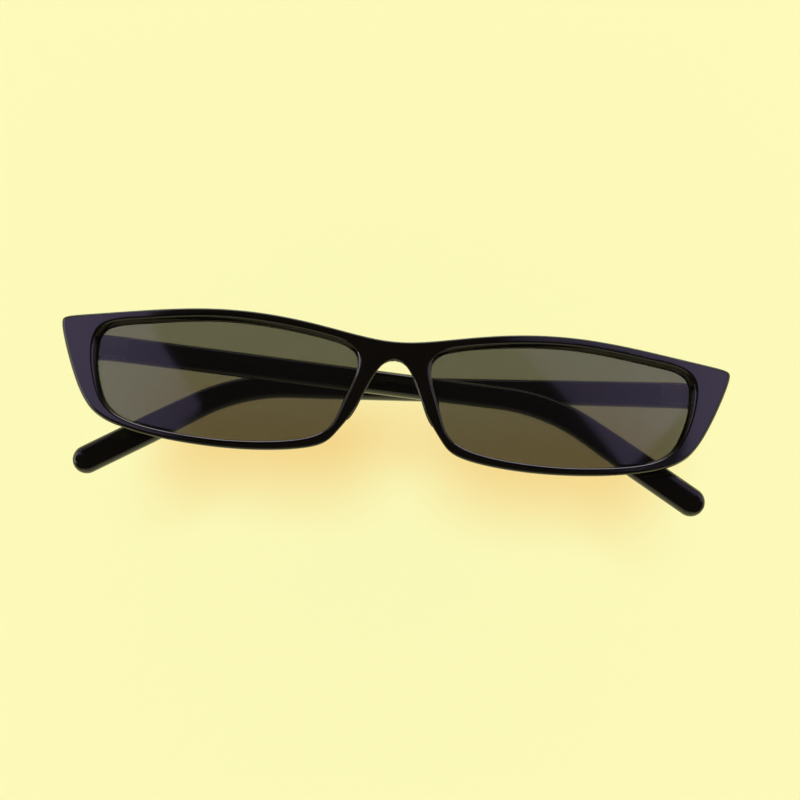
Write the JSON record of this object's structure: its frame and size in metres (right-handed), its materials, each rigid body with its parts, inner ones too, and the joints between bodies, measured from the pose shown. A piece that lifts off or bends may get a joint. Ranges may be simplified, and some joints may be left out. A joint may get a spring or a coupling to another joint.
{
  "type": "sunglasses",
  "caption": "Slim cat-eye sunglasses in gloss black plastic with smoke grey lenses, folding temples on pinned metal hinges, lying folded.",
  "frame": {"origin": "on the surface it lies on, in the middle of the bounding box", "axes": "+X across the front to the wearer's left, +Y towards the brow, +Z out of the front, away from the wearer's face"},
  "size_m": [0.1418, 0.0336, 0.025],
  "materials": {
    "frame_plastic": "polished, moulded",
    "lens_tint": "smoke grey tinted lens, polished",
    "hinge_metal": "nickel-plated, satin"
  },
  "bodies": {
    "front": {"front_frame": "frame_plastic", "lens_left": "lens_tint", "lens_right": "lens_tint", "hinge_front_leaf_left": "hinge_metal", "hinge_front_leaf_right": "hinge_metal", "hinge_screw_left": "hinge_metal", "hinge_screw_right": "hinge_metal"},
    "left_temple": {"temple_left": "frame_plastic", "hinge_temple_leaf_left": "hinge_metal"},
    "right_temple": {"temple_right": "frame_plastic", "hinge_temple_leaf_right": "hinge_metal"}
  },
  "joints": [
    {"name": "temple_left_fold", "type": "hinge", "parent": "front", "child": "left_temple", "pos_m": [0.0645, 0.00989, 0.01036], "axis": [0, -1, 0], "range_deg": [0, 86]},
    {"name": "temple_right_fold", "type": "hinge", "parent": "front", "child": "right_temple", "pos_m": [-0.0645, 0.00989, 0.01036], "axis": [0, 1, 0], "range_deg": [0, 90]}
  ]
}
